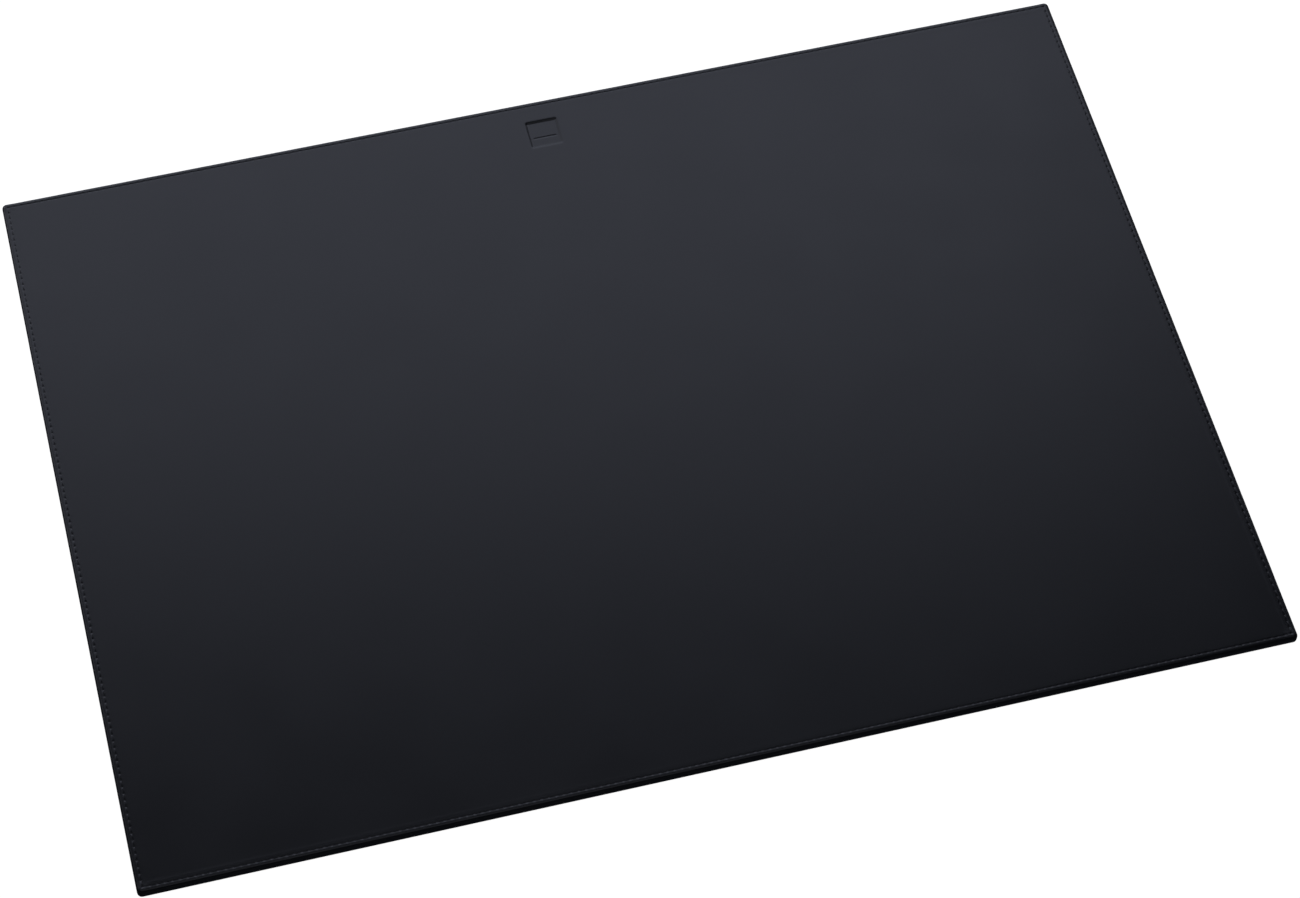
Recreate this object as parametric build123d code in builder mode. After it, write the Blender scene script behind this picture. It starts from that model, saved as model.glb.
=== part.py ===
# A sewn leather desk mat: a stiff board under thin foam, wrapped in one piece of leather whose edges
# are turned under it, levelled with a card, lined with a non-slip backing and sewn all round.
# Millimetres. The mat lies on z = 0, centred on X and Y, with its badge toward +Y.

import os
from math import sqrt

from build123d import *

os.makedirs("parts", exist_ok=True)

# Outline
mat_width = 700.0
mat_depth = 500.0
corner_round = 3.0

# Layers, from the desk up
backing_thickness = 0.8
core_thickness = 2.3
foam_thickness = 1.0
leather_thickness = 1.2

# How the leather is turned round the board and glued under it
top_round = 2.0
bottom_round = 1.1
hem_width = 15.0
mitre_gap = 0.2
glue_gap = 0.05

# How far the backing stays in from the turned edge
backing_inset = 1.6

# Seam through the whole stack, its stitches sunk in a channel on each face
seam_inset = 3.5
channel_width = 1.3
thread_diameter = 0.5
thread_turn = 1.0
desk_clearance = 0.1

# Badge: a square pressed into the leather near the back edge, with one plain bar in it
badge_side = 20.0
badge_from_back = 16.5
badge_depth = 0.6
badge_round = 0.5
bar_length = 15.0
bar_width = 1.1
bar_depth = 0.15
bar_from_front = 7.0

# Smallest corner left on a piece where the mat's own corner is used up by its inset
least_round = 0.5

# Heights, each from the layer below it
core_bottom = backing_thickness + leather_thickness
foam_bottom = core_bottom + core_thickness
foam_top = foam_bottom + foam_thickness
mat_top = foam_top + leather_thickness

# The board and the foam fill the inside of the turned leather, a glue line clear of it.
# The leather bends over the foam's top edge, so that round is no deeper than the foam's wall.
inside_inset = leather_thickness + glue_gap
foam_wall = foam_thickness - glue_gap
inside_round = min(max(top_round - leather_thickness, glue_gap), foam_wall)

# The seam runs straight along each side, and turns within one stitch at the corners
seam_x = mat_width / 2 - seam_inset
seam_y = mat_depth / 2 - seam_inset
needle_height = mat_top - thread_diameter / 2
bobbin_height = desk_clearance + thread_diameter / 2

badge_y = mat_depth / 2 - badge_from_back - badge_side / 2
bar_y = badge_y - badge_side / 2 + bar_from_front


def outline(inset, mode=Mode.ADD):
    """The mat's outline set in by this much, with its corners concentric while they can be."""
    corner = max(corner_round - inset, least_round)
    RectangleRounded(mat_width - 2 * inset, mat_depth - 2 * inset, corner, mode=mode)


def channel_outline():
    """The band along the seam that the stitches are sunk in."""
    outline(seam_inset - channel_width / 2)
    outline(seam_inset + channel_width / 2, mode=Mode.SUBTRACT)


def ring_of_thread(height):
    """One closed run of thread along the seam, with its centre at this height."""
    with BuildPart() as ring:
        with BuildSketch(Plane.XY.offset(height), mode=Mode.PRIVATE) as seam:
            RectangleRounded(2 * seam_x, 2 * seam_y, thread_turn)
        path = seam.sketch.face().outer_wire()
        with BuildSketch(Plane(origin=path @ 0, z_dir=path % 0)):
            Circle(thread_diameter / 2)
        sweep(path=path)
    return ring.part


# Leather cover: the top, the rounded sides and the hems underneath are one piece of leather
with BuildPart() as leather_cover:
    with BuildSketch(Plane.XY.offset(backing_thickness)):
        outline(0)
    extrude(amount=mat_top - backing_thickness)
    fillet(leather_cover.faces().sort_by(Axis.Z)[-1].edges(), top_round)
    fillet(leather_cover.faces().sort_by(Axis.Z)[0].edges(), bottom_round)

    # the space that the board and the foam fill
    with BuildSketch(Plane.XY.offset(core_bottom)):
        outline(leather_thickness)
    extrude(amount=foam_top - core_bottom, mode=Mode.SUBTRACT)
    inside_top = leather_cover.faces().filter_by(Plane.XY).sort_by(Axis.Z)[-2]
    fillet(inside_top.edges(), inside_round)

    # the opening between the hems, and the mitres where two hems meet
    with BuildSketch(Plane.XY.offset(backing_thickness)):
        outline(hem_width)
    extrude(amount=leather_thickness, mode=Mode.SUBTRACT)
    mitre_middle = (hem_width + corner_round) / 2
    mitre_length = (hem_width - corner_round) * sqrt(2) + mitre_gap
    with BuildSketch(Plane.XY.offset(backing_thickness)):
        for x_side in (-1, 1):
            for y_side in (-1, 1):
                corner = (
                    x_side * (mat_width / 2 - mitre_middle),
                    y_side * (mat_depth / 2 - mitre_middle),
                )
                with Locations(corner):
                    Rectangle(mitre_length, mitre_gap, rotation=45 * x_side * y_side)
    extrude(amount=leather_thickness, mode=Mode.SUBTRACT)

    # the channel that the needle thread lies in
    with BuildSketch(Plane.XY.offset(mat_top)):
        channel_outline()
    extrude(amount=-thread_diameter, mode=Mode.SUBTRACT)

    # the pressed badge and its bar
    with BuildSketch(Plane.XY.offset(mat_top)):
        with Locations((0, badge_y)):
            RectangleRounded(badge_side, badge_side, badge_round)
    extrude(amount=-badge_depth, mode=Mode.SUBTRACT)
    with BuildSketch(Plane.XY.offset(mat_top - badge_depth)):
        with Locations((0, bar_y)):
            SlotOverall(bar_length, bar_width)
    extrude(amount=-bar_depth, mode=Mode.SUBTRACT)
leather_cover.part.label = "leather_cover"
export_step(leather_cover.part, "parts/leather_cover.step")

# Foam interlining: softens the top and rounds its edge
with BuildPart() as foam_interlining:
    with BuildSketch(Plane.XY.offset(foam_bottom)):
        outline(inside_inset)
    extrude(amount=foam_thickness)
    fillet(foam_interlining.faces().sort_by(Axis.Z)[-1].edges(), inside_round)
foam_interlining.part.label = "foam_interlining"
export_step(foam_interlining.part, "parts/foam_interlining.step")

# Core board: the stiff middle that the leather is turned round
with BuildPart() as core_board:
    with BuildSketch(Plane.XY.offset(core_bottom)):
        outline(inside_inset)
    extrude(amount=core_thickness)
core_board.part.label = "core_board"
export_step(core_board.part, "parts/core_board.step")

# Infill card: as thick as the hems, so the underside is level between them
with BuildPart() as infill_card:
    with BuildSketch(Plane.XY.offset(backing_thickness)):
        outline(hem_width + glue_gap)
    extrude(amount=leather_thickness)
infill_card.part.label = "infill_card"
export_step(infill_card.part, "parts/infill_card.step")

# Backing sheet: the non-slip face that meets the desk, sewn on by the same seam
with BuildPart() as backing_sheet:
    with BuildSketch():
        outline(backing_inset)
    extrude(amount=backing_thickness)
    with BuildSketch():
        channel_outline()
    extrude(amount=thread_diameter + desk_clearance, mode=Mode.SUBTRACT)
backing_sheet.part.label = "backing_sheet"
export_step(backing_sheet.part, "parts/backing_sheet.step")

# Needle thread: the stitches seen from above
needle_thread = ring_of_thread(needle_height)
needle_thread.label = "needle_thread"
export_step(needle_thread, "parts/needle_thread.step")

# Bobbin thread: the stitches seen from below, held clear of the desk
bobbin_thread = ring_of_thread(bobbin_height)
bobbin_thread.label = "bobbin_thread"
export_step(bobbin_thread, "parts/bobbin_thread.step")

stack = (leather_cover, foam_interlining, core_board, infill_card, backing_sheet)
for piece in stack:
    print(piece.part.label, round(piece.part.volume / 1000, 2), "cm3")
for thread in (needle_thread, bobbin_thread):
    print(thread.label, round(thread.volume / 1000, 3), "cm3")
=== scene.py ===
import math
import random

import bmesh
import bpy
from mathutils import Matrix, Vector, noise


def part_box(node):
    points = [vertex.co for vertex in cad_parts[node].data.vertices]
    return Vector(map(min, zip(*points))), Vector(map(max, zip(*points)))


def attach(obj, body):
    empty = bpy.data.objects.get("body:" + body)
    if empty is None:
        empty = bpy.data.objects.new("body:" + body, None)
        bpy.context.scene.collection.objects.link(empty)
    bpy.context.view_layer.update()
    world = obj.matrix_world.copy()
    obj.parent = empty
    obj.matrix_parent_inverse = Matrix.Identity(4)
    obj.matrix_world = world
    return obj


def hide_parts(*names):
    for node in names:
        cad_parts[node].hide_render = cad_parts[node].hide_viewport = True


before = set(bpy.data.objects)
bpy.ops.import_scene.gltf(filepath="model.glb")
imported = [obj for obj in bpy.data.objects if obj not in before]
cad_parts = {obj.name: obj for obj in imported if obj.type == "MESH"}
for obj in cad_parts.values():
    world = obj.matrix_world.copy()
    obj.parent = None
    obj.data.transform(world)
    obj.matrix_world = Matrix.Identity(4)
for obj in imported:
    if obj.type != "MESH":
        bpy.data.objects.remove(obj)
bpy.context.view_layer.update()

mm = 0.001
quarter = math.pi / 2

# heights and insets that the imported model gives
coverLow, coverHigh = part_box("leather_cover")
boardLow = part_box("core_board")[0]
foamLow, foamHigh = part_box("foam_interlining")
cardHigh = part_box("infill_card")[1]
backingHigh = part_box("backing_sheet")[1]
threadLow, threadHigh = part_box("needle_thread")
matX, matY, matTop = coverHigh
hemBottom = coverLow.z
backingInset = matX - backingHigh.x
threadThick = threadHigh.z - threadLow.z
seamInset = matX - threadHigh.x + threadThick / 2

# the mat's own corner, and the least corner that a ring further in can have
corner = {
    "round": 3.0 * mm,
    "leastRound": 0.4 * mm,
    "steps": 6,
}

# a lockstitch seam round all four sides, with a needle hole in each corner
seam = {
    "stitch": 4.4 * mm,
    "columns": (0.0, 0.075, 0.19, 0.5, 0.81, 0.925),    # shares of a stitch, close together at its hole
    "across": [x * mm for x in (1.4, 0.9, 0.6, 0.38, 0.19, 0.0, -0.19, -0.38, -0.62, -0.9, -1.2)],
    "flatFrom": 2.4 * mm,         # this far in from the seam the surface is flat again
    "coarseFrom": 4.5 * mm,       # and from here on only the corners have mesh columns
    "grooveWide": 0.4 * mm,
    "pullDeep": 0.01 * mm,        # how far the thread pulls the leather and foam down round it
    "pullWide": 1.5 * mm,
    "holeWide": 0.47 * mm,
}


# A fine ring of the cover, the backing or the foam has one vertex for each column. A column is its side,
# its place along that side, its turn round the corner, how far the nearest needle hole is, and whether
# it stays where the mesh is coarse.
def seamColumns():
    found = []
    for side in range(4):
        half = (matX if side % 2 == 0 else matY) - seamInset
        count = round(2 * half / seam["stitch"])
        pitch = 2 * half / count
        for stitch in range(count):
            for share in seam["columns"]:
                along = -half + (stitch + share) * pitch
                found.append((side, along, 0.0, min(share, 1 - share) * pitch, share == 0 and stitch == 0))
        found.append((side, half, 0.0, 0.0, True))
        for step in range(1, corner["steps"]):
            found.append((side, half, step / corner["steps"] * quarter, 0.0, True))
    return found


columns = seamColumns()
coarseColumns = {number for number, column in enumerate(columns) if column[4]}


# where a column stands on the mat's outline set in by inset, and which way is outwards there
def outline(number, inset):
    side, along, turn = columns[number][:3]
    halfAlong, halfAcross = (matX, matY) if side % 2 == 0 else (matY, matX)
    rounded = max(corner["round"] - inset, corner["leastRound"])
    lastHole = halfAlong - seamInset - seam["stitch"]
    straight = halfAlong - inset - rounded
    if abs(along) > lastHole:     # the last stitch stretches or shrinks to end at this ring's corner
        share = (abs(along) - lastHole) / seam["stitch"]
        along = math.copysign(lastHole + share * (straight - lastHole), along)
    point = Vector((along + rounded * math.sin(turn), inset - halfAcross + rounded * (1 - math.cos(turn)), 0))
    outwards = Vector((math.sin(turn), -math.cos(turn), 0))
    spin = Matrix.Rotation(side * quarter, 3, "Z")
    return spin @ point, spin @ outwards


def bell(distance, wide):
    return math.exp(-((distance / wide) ** 2))


# how far the seam pulls the surface in at this column and inset
def sewnDip(number, inset, grooveDeep, holeDeep):
    reach = columns[number][3]
    off = inset - seamInset
    dip = seam["pullDeep"] * bell(off, seam["pullWide"]) + grooveDeep * bell(off, seam["grooveWide"])
    return dip + holeDeep * bell(math.hypot(off, reach), seam["holeWide"])


# a closed loop of edges, whose vertices know their columns
def startLoop(bm, count):
    ring = bmesh.ops.create_circle(bm, cap_ends=False, segments=count, radius=1.0)["verts"]
    ring.sort(key=lambda v: math.atan2(v.co.y, v.co.x))
    layer = bm.verts.layers.int["column"]
    for number, v in enumerate(ring):
        v[layer] = number
    return list({e for v in ring for e in v.link_edges})


def placeLoop(bm, verts, placeAt):
    layer = bm.verts.layers.int["column"]
    for v in verts:
        v.co = placeAt(v[layer])


def vertsOf(loop):
    return list({v for e in loop for v in e.verts})


# one more ring beyond a loop, with a band of faces between them
def sweepOn(bm, loop, placeAt):
    made = bmesh.ops.extrude_edge_only(bm, edges=loop)["geom"]
    verts = {g for g in made if isinstance(g, bmesh.types.BMVert)}
    placeLoop(bm, verts, placeAt)
    edges = [g for g in made if isinstance(g, bmesh.types.BMEdge)]
    return [e for e in edges if e.verts[0] in verts and e.verts[1] in verts]


# leaves only the corner columns of a loop that lies in flat faces, so that what follows is light
def thinOut(bm, loop):
    layer = bm.verts.layers.int["column"]
    verts = vertsOf(loop)
    spare = [v for v in verts if v[layer] not in coarseColumns]
    stay = [v for v in verts if v[layer] in coarseColumns]
    bmesh.ops.dissolve_verts(bm, verts=spare)
    return list({e for v in stay for e in v.link_edges if e.other_vert(v) in stay and e.is_boundary})


# a function that puts a column on the outline at this inset and height
def ringAt(inset, height, dip=None, push=None):
    def placeAt(number):
        point, outwards = outline(number, inset)
        point.z = height
        if dip:
            point.z += dip(number, inset)
        if push:
            point += outwards * push(number)
        return point

    return placeAt


# the same for a small rounded square or slot, where size is its width and depth
def squareRing(size, rounded, steps, middle, height):
    def placeAt(number):
        turn, step = divmod(number, steps + 1)
        angle = (turn + step / steps) * quarter
        halfX, halfY = size[0] / 2 - rounded, size[1] / 2 - rounded
        signX = 1 if turn in (0, 1) else -1
        signY = -1 if turn in (0, 3) else 1
        x = signX * halfX + rounded * math.sin(angle)
        y = signY * halfY - rounded * math.cos(angle)
        return Vector((middle[0] + x, middle[1] + y, height))

    return placeAt


# a finished bmesh becomes a piece that stands at the origin
def newPiece(name, bm, sharpFrom=35):
    mesh = bpy.data.meshes.new(name)
    bm.to_mesh(mesh)
    bm.free()
    mesh.set_sharp_from_angle(angle=math.radians(sharpFrom))
    piece = bpy.data.objects.new(name, mesh)
    bpy.context.scene.collection.objects.link(piece)
    return piece


# smooth shading, with every face of a closed skin turned outwards
def finishSkin(bm):
    bmesh.ops.recalc_face_normals(bm, faces=bm.faces)
    for face in bm.faces:
        face.smooth = True


# one piece of leather: the panel, the padded rim, the turned edge, the hem under the board and its inside
cover = {
    "topRound": 2.0 * mm,
    "topSteps": 6,
    "wallRings": (0.5 * mm, 1.2 * mm),      # below the top round; the mesh is coarse from the second on
    "underRound": 1.1 * mm,
    "underSteps": 4,
    "insideSteps": 3,
    "hemWide": matX - cardHigh.x,
    "thick": matTop - foamHigh.z,
    "grooveDeep": 0.025 * mm,
    "holeDeep": 0.2 * mm,
    "rimProud": (0.022 * mm, 0.075 * mm),   # the padded rim stands this much above the panel, front and back
    "rimSlope": (-1.35 * mm, 0.25 * mm),    # where the rim comes down to the panel, from the seam inwards
    "cornerSwell": 0.26 * mm,     # folded corners hold two more layers of leather
    "swellFrom": 2.0 * mm,        # the middle of the swell, in from both edges
    "swellReach": 4.2 * mm,
    "waver": 0.05 * mm,           # a turned edge is never quite straight
    "waves": ((45, 1.0), (150, 0.5)),       # how many to a metre, and how strong they are in the waver
    "puff": 0.02 * mm,            # it swells a little between two needle holes
    "puffGap": 1.1 * mm,          # and stays down this near to a hole
    "rubAngle": 0.6,              # the round is rubbed most at this angle, in radians from the top
    "rubWide": 0.55,
}


# the rim stands proud of the panel, the seam presses it down, and the folds under each corner lift it
def coverLift(number, inset):
    spot = outline(number, inset)[0]
    middle = cover["swellFrom"]
    away = math.hypot(matX - middle - abs(spot.x), matY - middle - abs(spot.y))
    swell = cover["cornerSwell"] * bell(away, cover["swellReach"])
    start, end = cover["rimSlope"]
    share = min(max((inset - seamInset - start) / (end - start), 0), 1)
    ease = share * share * (3 - 2 * share)
    front, back = cover["rimProud"]
    rim = front + (back - front) * (spot.y / matY + 1) / 2
    return swell - back + rim * (1 - ease) - sewnDip(number, inset, cover["grooveDeep"], cover["holeDeep"])


# the turned edge wavers along its length, and swells between needle holes
def edgePush(share):
    def push(number):
        reach = columns[number][3]
        spot = outline(number, 0)[0]
        waver = sum(strength * noise.noise(spot * many) for many, strength in cover["waves"])
        return share * (cover["waver"] * waver + cover["puff"] * (1 - bell(reach, cover["puffGap"])))

    return push


# a square pressed into the panel near the back edge, with one plain bar in it
badge = {
    "side": 20.0 * mm,
    "fromBack": 16.5 * mm,
    "round": 1.0 * mm,
    "leastRound": 0.15 * mm,
    "steps": 5,
    # inset from the outline and depth, in mm: a soft shoulder, a sloping wall and a soft foot
    "wall": ((-2.6, 0.0), (-1.6, 0.0), (-1.15, 0.02), (-0.75, 0.07), (-0.4, 0.15), (-0.1, 0.25), (0.12, 0.36),
             (0.32, 0.48), (0.52, 0.57), (0.75, 0.63), (1.05, 0.66), (1.45, 0.66)),
    "barLong": 15.0 * mm,
    "barWide": 1.1 * mm,
    "barRound": 0.45 * mm,
    "barFromFront": 7.0 * mm,
    "barWall": ((-0.6, 0.0), (-0.3, 0.0), (-0.12, 0.03), (0.06, 0.09), (0.24, 0.14), (0.4, 0.15)),
}


# fills the flat between a border and a pressed outline, then goes down the pressed wall
def pressIn(bm, border, size, rounded, wall, middle, height):
    steps = badge["steps"]
    loop = startLoop(bm, 4 * (steps + 1))
    for number, (inset, depth) in enumerate(wall):
        within = [s - 2 * inset * mm for s in size]
        turned = max(rounded - inset * mm, badge["leastRound"])
        place = squareRing(within, turned, steps, middle, height - depth * mm)
        if number == 0:
            placeLoop(bm, vertsOf(loop), place)
            bmesh.ops.triangle_fill(bm, use_beauty=True, use_dissolve=False, edges=border + loop)
        else:
            loop = sweepOn(bm, loop, place)
    return loop


def makeCover():
    bm = bmesh.new()
    bm.verts.layers.int.new("column")
    rub = bm.verts.layers.float.new("rub")
    radius = cover["topRound"]
    panelTop = matTop - cover["rimProud"][1]

    # the flat panel just inside the seam, then out across the seam and over the rim
    first = startLoop(bm, len(columns))
    placeLoop(bm, vertsOf(first), ringAt(seamInset + seam["flatFrom"], panelTop))
    loop = first
    for offset in seam["across"]:
        loop = sweepOn(bm, loop, ringAt(seamInset + offset, matTop, coverLift))
    for step in range(cover["topSteps"] + 1):
        angle = step / cover["topSteps"] * quarter
        inset = radius * (1 - math.sin(angle))
        height = matTop - radius * (1 - math.cos(angle))
        share = math.cos(angle)
        loop = sweepOn(bm, loop, ringAt(
            inset, height, lambda n, i, s=share: s * coverLift(n, i), edgePush(math.sin(angle))))
        for v in vertsOf(loop):
            v[rub] = bell(angle - cover["rubAngle"], cover["rubWide"])
    for v in vertsOf(loop):
        v[rub] = 0.0

    # side wall, the turn under the board, the hem and the inside of the leather
    wall = matTop - radius
    upper, lower = cover["wallRings"]
    loop = sweepOn(bm, loop, ringAt(0, wall - upper, None, edgePush(1)))
    loop = thinOut(bm, sweepOn(bm, loop, ringAt(0, wall - lower)))
    under = cover["underRound"]
    for step in range(cover["underSteps"] + 1):
        angle = step / cover["underSteps"] * quarter
        inset = under * (1 - math.cos(angle))
        loop = sweepOn(bm, loop, ringAt(inset, hemBottom + under * (1 - math.sin(angle))))
    thick = cover["thick"]
    inner = radius - thick
    insides = [(cover["hemWide"], hemBottom), (cover["hemWide"], boardLow.z), (thick, boardLow.z)]
    for step in range(cover["insideSteps"] + 1):
        angle = step / cover["insideSteps"] * quarter
        inset = thick + inner * (1 - math.cos(angle))
        insides.append((inset, matTop - thick - inner * (1 - math.sin(angle))))
    for inset, height in insides:
        loop = sweepOn(bm, loop, ringAt(inset, height))
    bmesh.ops.contextual_create(bm, geom=loop)

    # the rest of the panel, with the pressed badge and its bar
    border = thinOut(bm, sweepOn(bm, first, ringAt(seamInset + seam["coarseFrom"], panelTop)))
    badgeY = matY - badge["fromBack"] - badge["side"] / 2
    border = pressIn(bm, border, (badge["side"], badge["side"]), badge["round"], badge["wall"],
                     (0, badgeY), panelTop)
    badgeFloor = panelTop - badge["wall"][-1][1] * mm
    barY = badgeY - badge["side"] / 2 + badge["barFromFront"]
    border = pressIn(bm, border, (badge["barLong"], badge["barWide"]), badge["barRound"], badge["barWall"],
                     (0, barY), badgeFloor)
    bmesh.ops.contextual_create(bm, geom=border)
    finishSkin(bm)
    return newPiece("leather_cover_sewn", bm)


# a two-ply thread, laid as one separate stitch from each needle hole to the next
stitching = {
    "sides": 6,
    "rings": 10,
    "twist": math.radians(58),    # turn of the two plies from one ring to the next
    "flatten": 0.74,              # two plies side by side are wider than they are high
    "dive": 0.50 * mm,            # how far it goes down into its needle holes
    "diveLate": 6,                # the higher this is, the nearer to the hole it starts to dive
    "slant": math.radians(3.0),   # lockstitches lean a little across the seam
    "slantVary": 0.02,            # in radians
    "uneven": 0.03 * mm,
    "proud": 0.03 * mm,           # the pressed leather leaves the thread standing this much higher
    "offDesk": 0.06 * mm,         # the bobbin thread stays at least this far above the desk
    "topSeed": 11,
    "underSeed": 23,
}


# the thread's line from hole to hole: nearly straight, diving into the leather at both ends
def stitchLine(share):
    end = abs(2 * share - 1)
    return Vector((share * seam["stitch"], 0, -stitching["dive"] * end ** stitching["diveLate"]))


# one stitch along X, from needle hole to needle hole, as two plies twisted together
def stitchShape():
    bm = bmesh.new()
    radius = threadThick / 2
    ring = bmesh.ops.create_circle(bm, cap_ends=True, segments=stitching["sides"], radius=radius)["verts"]
    bmesh.ops.scale(bm, vec=(1, stitching["flatten"], 1), verts=ring)
    bmesh.ops.rotate(bm, cent=(0, 0, 0), matrix=Matrix.Rotation(quarter, 3, "Y"), verts=ring)
    before = stitchLine(0)
    bmesh.ops.translate(bm, vec=before, verts=ring)
    face = next(iter(bm.faces))
    twist = Matrix.Rotation(stitching["twist"], 3, "X")
    for step in range(1, stitching["rings"]):
        at = stitchLine(step / (stitching["rings"] - 1))
        made = bmesh.ops.extrude_face_region(bm, geom=[face])["geom"]
        bmesh.ops.delete(bm, geom=[face], context="FACES_ONLY")
        face = next(g for g in made if isinstance(g, bmesh.types.BMFace))
        bmesh.ops.rotate(bm, cent=before, matrix=twist, verts=face.verts)
        bmesh.ops.translate(bm, vec=at - before, verts=face.verts)
        before = at
    bmesh.ops.holes_fill(bm, edges=[e for e in bm.edges if e.is_boundary], sides=0)
    finishSkin(bm)
    mesh = bpy.data.meshes.new("stitch")
    bm.to_mesh(mesh)
    bm.free()
    return mesh


# a row of stitches along each side, turned over where they are on the underside
def sewStitches(name, height, topSide):
    template = stitchShape()
    bm = bmesh.new()
    rng = random.Random(stitching["topSeed"] if topSide else stitching["underSeed"])
    flip = Matrix.Identity(4) if topSide else Matrix.Rotation(math.pi, 4, "X")
    for side in range(4):
        half, across = (matX, matY) if side % 2 == 0 else (matY, matX)
        half -= seamInset
        across -= seamInset
        count = round(2 * half / seam["stitch"])
        pitch = 2 * half / count
        for stitch in range(count):
            bm.verts.ensure_lookup_table()
            already = len(bm.verts)
            bm.from_mesh(template)
            bm.verts.ensure_lookup_table()
            lean = stitching["slant"] + rng.uniform(-stitching["slantVary"], stitching["slantVary"])
            sunk = rng.uniform(-1, 0) * stitching["uneven"]
            level = height + (sunk if topSide else -sunk)
            move = (
                Matrix.Rotation(side * quarter, 4, "Z")
                @ Matrix.Translation((-half + (stitch + 0.5) * pitch, -across, level))
                @ Matrix.Rotation(lean, 4, "Z")
                @ flip
                @ Matrix.Scale(pitch / seam["stitch"], 4, (1, 0, 0))
                @ Matrix.Translation((-seam["stitch"] / 2, 0, 0))
            )
            bmesh.ops.transform(bm, matrix=move, verts=bm.verts[already:])
    bpy.data.meshes.remove(template)
    return newPiece(name, bm, sharpFrom=180)


# the sheet that meets the desk; its seam lies deep enough to keep the bobbin thread off the desk
backing = {
    "grooveDeep": 0.42 * mm,      # in all, with the thread's pull
    "holeDeep": 0.22 * mm,
    "cutRound": 0.3 * mm,
    "cutSteps": 3,
}


def backingDip(number, inset):
    return sewnDip(number, inset, backing["grooveDeep"] - seam["pullDeep"], backing["holeDeep"])


def makeBacking():
    bm = bmesh.new()
    bm.verts.layers.int.new("column")
    cut = backing["cutRound"]
    first = startLoop(bm, len(columns))
    placeLoop(bm, vertsOf(first), ringAt(seamInset + seam["flatFrom"], 0))
    loop = first
    for offset in seam["across"][:-1]:      # the outermost ring is left out, for the round of the cut edge
        loop = sweepOn(bm, loop, ringAt(seamInset + offset, 0, backingDip))
    for step in range(1, backing["cutSteps"] + 1):
        angle = step / backing["cutSteps"] * quarter
        inset = backingInset + cut * (1 - math.sin(angle))
        loop = sweepOn(bm, loop, ringAt(inset, cut * (1 - math.cos(angle))))
    loop = thinOut(bm, sweepOn(bm, loop, ringAt(backingInset, backingHigh.z)))
    bmesh.ops.contextual_create(bm, geom=loop)
    border = thinOut(bm, sweepOn(bm, first, ringAt(seamInset + seam["coarseFrom"], 0)))
    bmesh.ops.contextual_create(bm, geom=border)
    finishSkin(bm)
    return newPiece("backing_suede", bm)


# a thin sheet whose top edge has the same round as the inside of the leather over it
def makeFoam():
    bm = bmesh.new()
    bm.verts.layers.int.new("column")
    inset = matX - foamHigh.x
    inner = cover["topRound"] - cover["thick"]
    first = startLoop(bm, len(columns))
    placeLoop(bm, vertsOf(first), ringAt(inset, foamLow.z))
    loop = first
    for step in range(cover["insideSteps"] + 1):
        angle = step / cover["insideSteps"] * quarter
        loop = sweepOn(bm, loop, ringAt(
            inset + inner * (1 - math.cos(angle)), foamHigh.z - inner * (1 - math.sin(angle))))
    loop = thinOut(bm, loop)
    bmesh.ops.contextual_create(bm, geom=loop)
    bmesh.ops.contextual_create(bm, geom=thinOut(bm, first))
    finishSkin(bm)
    return newPiece("foam_sheet", bm)


# sRGB hex to the linear colour that a shader takes
def colour(text):
    parts = [int(text[i:i + 2], 16) / 255 for i in (1, 3, 5)]
    return [*(c / 12.92 if c <= 0.04045 else ((c + 0.055) / 1.055) ** 2.4 for c in parts), 1.0]


def addNode(tree, kind, inputs=None, **settings):
    node = tree.nodes.new(kind)
    for name, value in settings.items():
        setattr(node, name, value)
    for name, value in (inputs or {}).items():
        if isinstance(value, bpy.types.NodeSocket):
            tree.links.new(value, node.inputs[name])
        else:
            node.inputs[name].default_value = value
    return node


# a material with one shader, and the place on the piece that its patterns follow
def newMaterial(name):
    material = bpy.data.materials.new(name)
    material.use_nodes = True
    tree = material.node_tree
    tree.nodes.clear()
    shader = addNode(tree, "ShaderNodeBsdfPrincipled")
    addNode(tree, "ShaderNodeOutputMaterial", {"Surface": shader.outputs["BSDF"]})
    place = addNode(tree, "ShaderNodeTexCoord").outputs["Object"]
    return material, tree, shader, place


# scale of a pattern whose cells or waves are this many metres wide
def perMetre(size):
    return 1 / size


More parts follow.
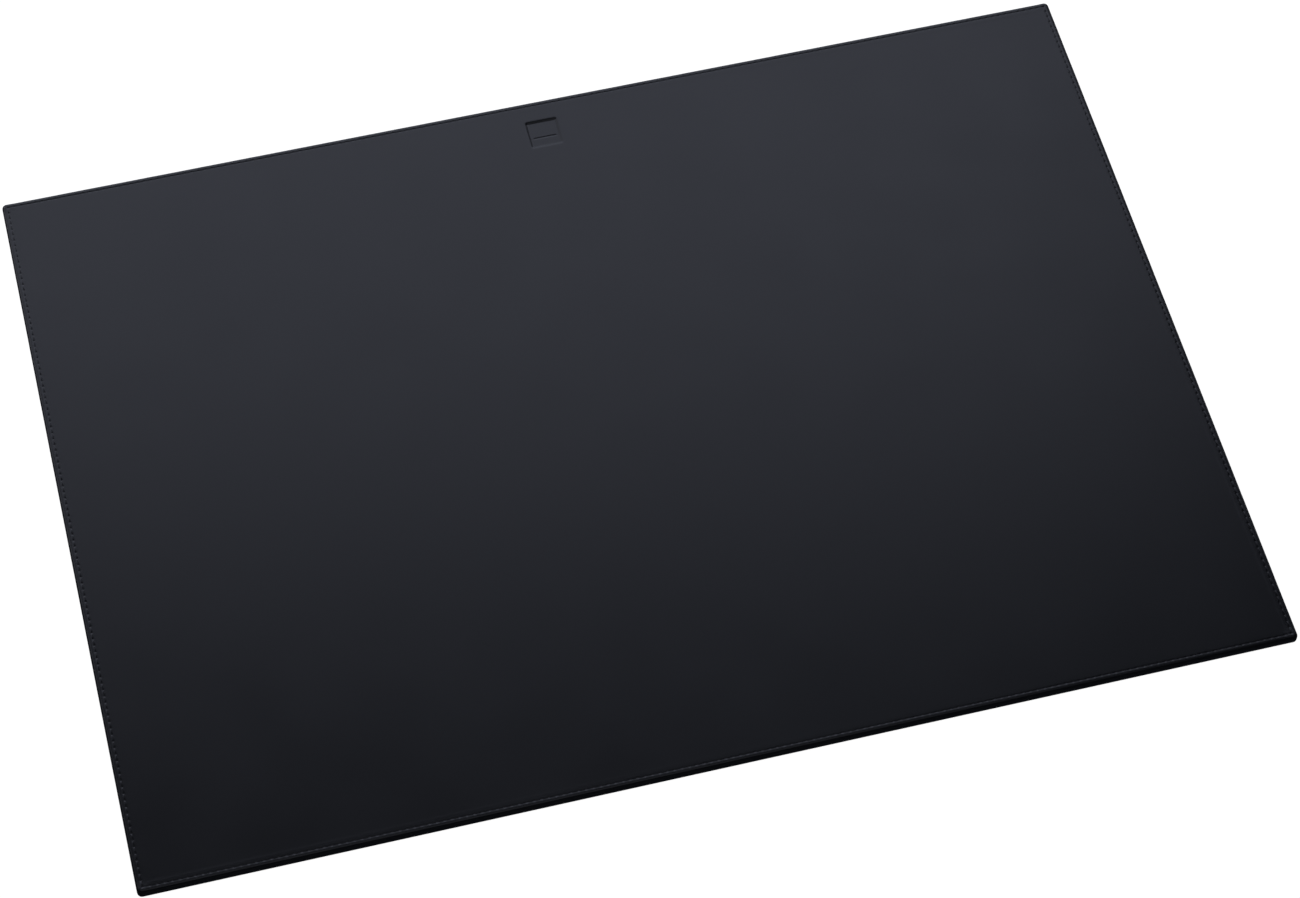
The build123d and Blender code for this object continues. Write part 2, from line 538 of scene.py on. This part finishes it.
# black calf leather, drum dyed, with a thin satin finish coat: a dark body under a soft, even gloss
def calfLeather():
    material, tree, shader, place = newMaterial("satin_calf_leather")
    mottle = addNode(tree, "ShaderNodeTexNoise", {"Vector": place, "Scale": perMetre(55 * mm), "Detail": 4.0})
    pebble = addNode(tree, "ShaderNodeTexVoronoi", {"Vector": place, "Scale": perMetre(0.75 * mm)},
                     feature="SMOOTH_F1")
    pores = addNode(tree, "ShaderNodeTexNoise", {"Vector": place, "Scale": perMetre(0.3 * mm), "Detail": 3.0})
    rub = addNode(tree, "ShaderNodeAttribute", attribute_name="rub")
    dye = addNode(tree, "ShaderNodeMix", {
        "Factor": mottle.outputs["Fac"], "A": colour("#08090b"), "B": colour("#0c0d10")}, data_type="RGBA")
    worn = addNode(tree, "ShaderNodeMix", {
        "Factor": rub.outputs["Fac"], "A": dye.outputs["Result"], "B": colour("#121316")}, data_type="RGBA")
    gloss = addNode(tree, "ShaderNodeMapRange", {
        "Value": mottle.outputs["Fac"], "From Min": 0.3, "From Max": 0.7, "To Min": 0.30, "To Max": 0.33})
    grain = addNode(tree, "ShaderNodeMath", {0: pebble.outputs["Distance"], 1: 0.6}, operation="MULTIPLY")
    skin = addNode(tree, "ShaderNodeMath", {0: grain.outputs[0], 1: pores.outputs["Fac"]}, operation="ADD")
    bump = addNode(tree, "ShaderNodeBump", {
        "Height": skin.outputs[0], "Strength": 0.12, "Distance": 0.05 * mm})
    tree.links.new(worn.outputs["Result"], shader.inputs["Base Color"])
    tree.links.new(gloss.outputs["Result"], shader.inputs["Roughness"])
    tree.links.new(bump.outputs["Normal"], shader.inputs["Normal"])
    shader.inputs["IOR"].default_value = 1.48
    return material


# bonded polyester sewing thread, black: fine filaments with a dull sheen
def bondedThread():
    material, tree, shader, place = newMaterial("bonded_polyester_thread")
    fibre = addNode(tree, "ShaderNodeTexNoise", {
        "Vector": place, "Scale": perMetre(0.12 * mm), "Detail": 2.0})
    shade = addNode(tree, "ShaderNodeMix", {
        "Factor": fibre.outputs["Fac"], "A": colour("#050506"), "B": colour("#0d0d0f")}, data_type="RGBA")
    bump = addNode(tree, "ShaderNodeBump", {
        "Height": fibre.outputs["Fac"], "Strength": 0.4, "Distance": 0.04 * mm})
    tree.links.new(shade.outputs["Result"], shader.inputs["Base Color"])
    tree.links.new(bump.outputs["Normal"], shader.inputs["Normal"])
    shader.inputs["Roughness"].default_value = 0.8
    shader.inputs["Specular IOR Level"].default_value = 0.14
    return material


# microfibre suede, brushed: no gloss, a short nap that lies this way and that
def brushedSuede():
    material, tree, shader, place = newMaterial("brushed_microfibre_suede")
    patches = addNode(tree, "ShaderNodeTexNoise", {
        "Vector": place, "Scale": perMetre(18 * mm), "Detail": 5.0})
    nap = addNode(tree, "ShaderNodeTexNoise", {"Vector": place, "Scale": perMetre(0.35 * mm), "Detail": 4.0})
    lie = addNode(tree, "ShaderNodeMix", {
        "Factor": patches.outputs["Fac"], "A": colour("#151518"), "B": colour("#26262a")}, data_type="RGBA")
    tips = addNode(tree, "ShaderNodeMix", {
        "Factor": nap.outputs["Fac"], "A": lie.outputs["Result"], "B": colour("#303034")}, data_type="RGBA")
    bump = addNode(tree, "ShaderNodeBump", {
        "Height": nap.outputs["Fac"], "Strength": 0.8, "Distance": 0.12 * mm})
    tree.links.new(tips.outputs["Result"], shader.inputs["Base Color"])
    tree.links.new(bump.outputs["Normal"], shader.inputs["Normal"])
    shader.inputs["Roughness"].default_value = 0.95
    shader.inputs["Specular IOR Level"].default_value = 0.15
    shader.inputs["Sheen Weight"].default_value = 0.35
    shader.inputs["Sheen Roughness"].default_value = 0.4
    return material


# closed-cell EVA foam, skived: pale grey, matt, pitted with cut cells, with painted shade darkening the
# middle of each pit
def evaFoam():
    material, tree, shader, place = newMaterial("closed_cell_eva_foam")
    cells = addNode(tree, "ShaderNodeTexVoronoi", {"Vector": place, "Scale": perMetre(0.4 * mm)})
    # painted shade: the grey is darkest at each cell's middle, where the bump makes its pit deepest
    shade = addNode(tree, "ShaderNodeMix", {
        "Factor": cells.outputs["Distance"], "A": colour("#55565a"), "B": colour("#6c6d70"),
    }, data_type="RGBA")
    bump = addNode(tree, "ShaderNodeBump", {
        "Height": cells.outputs["Distance"], "Strength": 0.6, "Distance": 0.1 * mm})
    tree.links.new(shade.outputs["Result"], shader.inputs["Base Color"])
    tree.links.new(bump.outputs["Normal"], shader.inputs["Normal"])
    shader.inputs["Roughness"].default_value = 0.85
    return material


# pressed wood-fibre board and grey card: short fibres pressed flat, light on dark flecks
def pressedFibre(name, dark, light, fibre):
    material, tree, shader, place = newMaterial(name)
    stretch = addNode(tree, "ShaderNodeMapping", {"Vector": place, "Scale": (1.0, 0.3, 1.0)})
    strands = addNode(tree, "ShaderNodeTexNoise", {
        "Vector": stretch.outputs["Vector"], "Scale": perMetre(fibre), "Detail": 6.0})
    clouds = addNode(tree, "ShaderNodeTexNoise", {"Vector": place, "Scale": perMetre(30 * mm), "Detail": 2.0})
    both = addNode(tree, "ShaderNodeMath", {0: strands.outputs["Fac"], 1: clouds.outputs["Fac"]},
                   operation="MULTIPLY")
    shade = addNode(tree, "ShaderNodeMix", {
        "Factor": both.outputs[0], "A": colour(dark), "B": colour(light)}, data_type="RGBA")
    bump = addNode(tree, "ShaderNodeBump", {
        "Height": strands.outputs["Fac"], "Strength": 0.3, "Distance": 0.08 * mm})
    tree.links.new(shade.outputs["Result"], shader.inputs["Base Color"])
    tree.links.new(bump.outputs["Normal"], shader.inputs["Normal"])
    shader.inputs["Roughness"].default_value = 0.9
    return material


# white paper lit from below, so it stays free of shadow and brighter than anything on it
def studioPaper():
    material, _, shader, _ = newMaterial("backlit_studio_paper")
    shader.inputs["Base Color"].default_value = colour("#8c8c8c")
    shader.inputs["Roughness"].default_value = 1.0
    shader.inputs["Specular IOR Level"].default_value = 0.0
    shader.inputs["Emission Color"].default_value = colour("#ffffff")
    shader.inputs["Emission Strength"].default_value = 1.0
    return material


# the camera's place is from the middle of the mat, which is turned in front of it
camera = {
    "lens": 103.05,
    "sensor": 36,
    "farClip": 50,
    "pitch": math.radians(57.524),
    "roll": math.radians(0.971),
    "matTurned": math.radians(15.004),
    "place": Vector((0.0143, -1.2516, 1.9323)),
}


def aimCamera():
    data = bpy.data.cameras.new("studio_camera")
    data.lens = camera["lens"]
    data.sensor_width = camera["sensor"]
    data.clip_end = camera["farClip"]
    eye = bpy.data.objects.new("studio_camera", data)
    bpy.context.scene.collection.objects.link(eye)
    look = Matrix.Rotation(quarter - camera["pitch"], 4, "X") @ Matrix.Rotation(camera["roll"], 4, "Z")
    unturn = Matrix.Rotation(-camera["matTurned"], 4, "Z")
    eye.matrix_world = unturn @ Matrix.Translation(camera["place"]) @ look
    bpy.context.scene.camera = eye


# lights that each face the middle of the mat, over paper just under the desk face
studio = {
    "softboxes": (
        # name, degrees left of straight ahead, degrees up, distance, size, radiance, tint
        ("far_softbox", 7, 33, 2.43, (2.1, 2.44), 1.06, "#e3e9ff"),
        ("left_softbox", 56, 26, 2.2, (1.5, 1.5), 0.85, "#e9edff"),
        ("right_softbox", -42, 18, 2.4, (1.3, 1.1), 0.42, "#e9edff"),
        ("top_softbox", 0, 100, 2.2, (1.6, 1.0), 0.42, "#eef1ff"),
        ("near_softbox", 180, 12, 2.6, (2.4, 0.7), 0.06, "#f4f6ff"),
    ),
    "wattsPerRadiance": 4,        # for each square metre of a softbox
    "room": "#8f9bb4",
    "roomStrength": 0.04,
    "paperHalf": 6.0,
    "paperBelow": 0.05 * mm,
}


def hangSoftbox(name, turned, high, distance, size, radiance, tint):
    light = bpy.data.lights.new(name, "AREA")
    light.shape = "RECTANGLE"
    light.size, light.size_y = size
    light.energy = studio["wattsPerRadiance"] * radiance * size[0] * size[1]
    light.color = colour(tint)[:3]
    lamp = bpy.data.objects.new(name, light)
    swing = Matrix.Rotation(math.radians(turned) - camera["matTurned"], 4, "Z")
    rise = Matrix.Rotation(math.radians(high), 4, "X")
    facing = Matrix.Rotation(-quarter, 4, "X")
    lamp.matrix_world = swing @ rise @ Matrix.Translation((0, distance, 0)) @ facing
    bpy.context.scene.collection.objects.link(lamp)


def makeStudio():
    bm = bmesh.new()
    bmesh.ops.create_grid(bm, x_segments=1, y_segments=1, size=studio["paperHalf"])
    bmesh.ops.translate(bm, vec=(0, 0, -studio["paperBelow"]), verts=bm.verts)
    floor = newPiece("floor", bm)
    floor.data.materials.append(studioPaper())
    floor.visible_glossy = False
    for softbox in studio["softboxes"]:
        hangSoftbox(*softbox)
    world = bpy.data.worlds.new("studio")
    world.use_nodes = True
    sky = world.node_tree.nodes["Background"]
    sky.inputs["Color"].default_value = colour(studio["room"])
    sky.inputs["Strength"].default_value = studio["roomStrength"]
    bpy.context.scene.world = world
    bpy.context.scene.view_settings.view_transform = "Standard"


leather = calfLeather()
threadFinish = bondedThread()

sewnCover = makeCover()
sewnCover.data.materials.append(leather)
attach(sewnCover, "root")
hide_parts("leather_cover")
print("leather cover:", len(sewnCover.data.polygons), "faces")

topStitches = sewStitches("needle_stitches", threadHigh.z - threadThick / 2 + stitching["proud"], True)
bottomStitches = sewStitches("bobbin_stitches", stitching["offDesk"] + threadThick / 2, False)
for stitches, node in ((topStitches, "needle_thread"), (bottomStitches, "bobbin_thread")):
    stitches.data.materials.append(threadFinish)
    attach(stitches, "root")
    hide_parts(node)
print("stitches:", len(topStitches.data.polygons), "faces on top")

suede = makeBacking()
suede.data.materials.append(brushedSuede())
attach(suede, "root")
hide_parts("backing_sheet")
print("backing:", len(suede.data.polygons), "faces")

foam = makeFoam()
foam.data.materials.append(evaFoam())
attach(foam, "root")
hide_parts("foam_interlining")
print("foam:", len(foam.data.polygons), "faces")

# the board and the card are shown as they were packed, each in its own finish
for node, material in (
    ("core_board", pressedFibre("pressed_fibreboard", "#5b4532", "#9a7b5a", 0.9 * mm)),
    ("infill_card", pressedFibre("grey_card", "#6a665f", "#a09b92", 0.5 * mm)),
):
    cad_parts[node].data.materials.clear()
    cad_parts[node].data.materials.append(material)
print("board and card finished")
aimCamera()
makeStudio()
print("studio ready")
